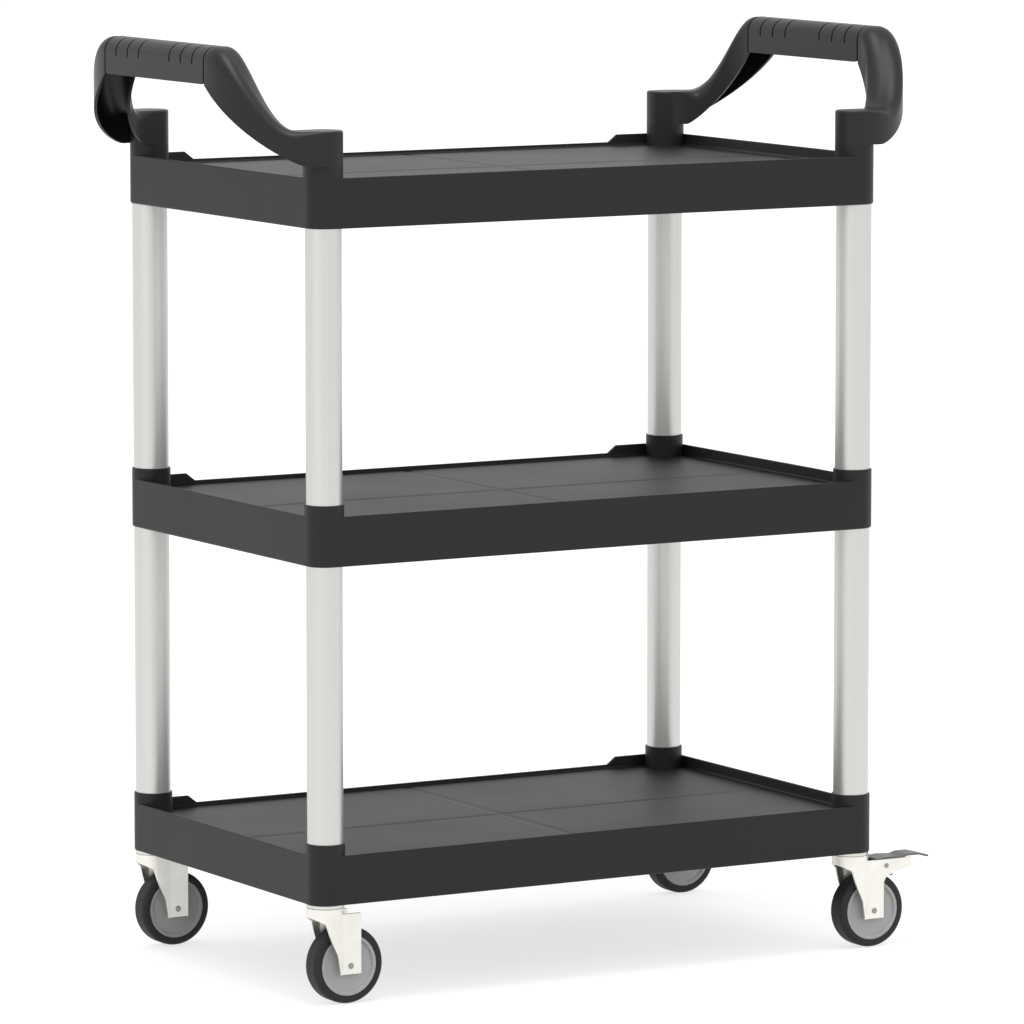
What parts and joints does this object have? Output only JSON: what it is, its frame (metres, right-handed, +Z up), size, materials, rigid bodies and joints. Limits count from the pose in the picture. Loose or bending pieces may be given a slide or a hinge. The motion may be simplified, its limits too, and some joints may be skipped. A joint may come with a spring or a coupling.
{
  "type": "food service trolley",
  "caption": "Service trolley with moulded tray shelves on round tubes, a moulded grip at each end and swivel casters, the right-hand pair with foot brakes.",
  "frame": {"origin": "on the floor, below the middle of the trolley", "axes": "+X along the length, +Y to the rear long side with the lowered lips, +Z up"},
  "size_m": [0.775, 0.3984, 0.9201],
  "materials": {
    "shelf_plastic": "fine moulded texture, black",
    "handle_plastic": "satin moulded, black",
    "tube_aluminium": "satin anodised",
    "screw_steel": "zinc plated",
    "stem_steel": "zinc plated",
    "plug_plastic": "moulded",
    "ball_steel": "polished",
    "fork_steel": "bright zinc plated",
    "pedal_steel": "zinc plated",
    "rivet_steel": "zinc plated",
    "sleeve_steel": "turned",
    "hub_plastic": "satin moulded, grey",
    "tyre_rubber": "smooth rubber"
  },
  "bodies": {
    "frame": {"bottom_shelf": "shelf_plastic", "front_left_caster_stem": "stem_steel", "front_left_lower_tube": "tube_aluminium", "front_left_stem_socket": "plug_plastic", "front_left_upper_tube": "tube_aluminium", "front_right_caster_stem": "stem_steel", "front_right_lower_tube": "tube_aluminium", "front_right_stem_socket": "plug_plastic", "front_right_upper_tube": "tube_aluminium", "left_handle": "handle_plastic", "middle_shelf": "shelf_plastic", "rear_left_caster_stem": "stem_steel", "rear_left_lower_tube": "tube_aluminium", "rear_left_stem_socket": "plug_plastic", "rear_left_upper_tube": "tube_aluminium", "rear_right_caster_stem": "stem_steel", "rear_right_lower_tube": "tube_aluminium", "rear_right_stem_socket": "plug_plastic", "rear_right_upper_tube": "tube_aluminium", "right_handle": "handle_plastic", "shelf_screws": "screw_steel", "top_shelf": "shelf_plastic"},
    "front_left_caster": {"front_left_fork": "fork_steel", "front_left_axle": "rivet_steel", "front_left_axle_sleeve": "sleeve_steel", "front_left_race_balls": "ball_steel"},
    "front_left_wheel": {"front_left_hub": "hub_plastic", "front_left_tyre": "tyre_rubber"},
    "front_right_caster": {"front_right_fork": "fork_steel", "front_right_axle": "rivet_steel", "front_right_axle_sleeve": "sleeve_steel", "front_right_race_balls": "ball_steel", "front_right_brake_pin": "rivet_steel"},
    "front_right_wheel": {"front_right_hub": "hub_plastic", "front_right_tyre": "tyre_rubber"},
    "front_right_pedal": {"front_right_brake_pedal": "pedal_steel"},
    "rear_left_caster": {"rear_left_fork": "fork_steel", "rear_left_axle": "rivet_steel", "rear_left_axle_sleeve": "sleeve_steel", "rear_left_race_balls": "ball_steel"},
    "rear_left_wheel": {"rear_left_hub": "hub_plastic", "rear_left_tyre": "tyre_rubber"},
    "rear_right_caster": {"rear_right_fork": "fork_steel", "rear_right_axle": "rivet_steel", "rear_right_axle_sleeve": "sleeve_steel", "rear_right_race_balls": "ball_steel", "rear_right_brake_pin": "rivet_steel"},
    "rear_right_wheel": {"rear_right_hub": "hub_plastic", "rear_right_tyre": "tyre_rubber"},
    "rear_right_pedal": {"rear_right_brake_pedal": "pedal_steel"}
  },
  "joints": [
    {"name": "front_left_swivel", "type": "hinge", "parent": "frame", "child": "front_left_caster", "pos_m": [-0.3, -0.18, 0.098], "axis": [0, 0, 1], "continuous": true},
    {"name": "front_left_wheel_spin", "type": "hinge", "parent": "front_left_caster", "child": "front_left_wheel", "pos_m": [-0.28, -0.18, 0.0375], "axis": [0, 1, 0], "continuous": true},
    {"name": "front_right_swivel", "type": "hinge", "parent": "frame", "child": "front_right_caster", "pos_m": [0.3, -0.18, 0.098], "axis": [0, 0, 1], "continuous": true},
    {"name": "front_right_wheel_spin", "type": "hinge", "parent": "front_right_caster", "child": "front_right_wheel", "pos_m": [0.32, -0.18, 0.0375], "axis": [0, 1, 0], "continuous": true},
    {"name": "front_right_brake", "type": "hinge", "parent": "front_right_caster", "child": "front_right_pedal", "pos_m": [0.3343, -0.18, 0.0822], "axis": [0, 1, 0], "range_deg": [0, 8]},
    {"name": "rear_left_swivel", "type": "hinge", "parent": "frame", "child": "rear_left_caster", "pos_m": [-0.3, 0.18, 0.098], "axis": [0, 0, 1], "continuous": true},
    {"name": "rear_left_wheel_spin", "type": "hinge", "parent": "rear_left_caster", "child": "rear_left_wheel", "pos_m": [-0.28, 0.18, 0.0375], "axis": [0, 1, 0], "continuous": true},
    {"name": "rear_right_swivel", "type": "hinge", "parent": "frame", "child": "rear_right_caster", "pos_m": [0.3, 0.18, 0.098], "axis": [0, 0, 1], "continuous": true},
    {"name": "rear_right_wheel_spin", "type": "hinge", "parent": "rear_right_caster", "child": "rear_right_wheel", "pos_m": [0.32, 0.18, 0.0375], "axis": [0, 1, 0], "continuous": true},
    {"name": "rear_right_brake", "type": "hinge", "parent": "rear_right_caster", "child": "rear_right_pedal", "pos_m": [0.3343, 0.18, 0.0822], "axis": [0, 1, 0], "range_deg": [0, 8]}
  ]
}
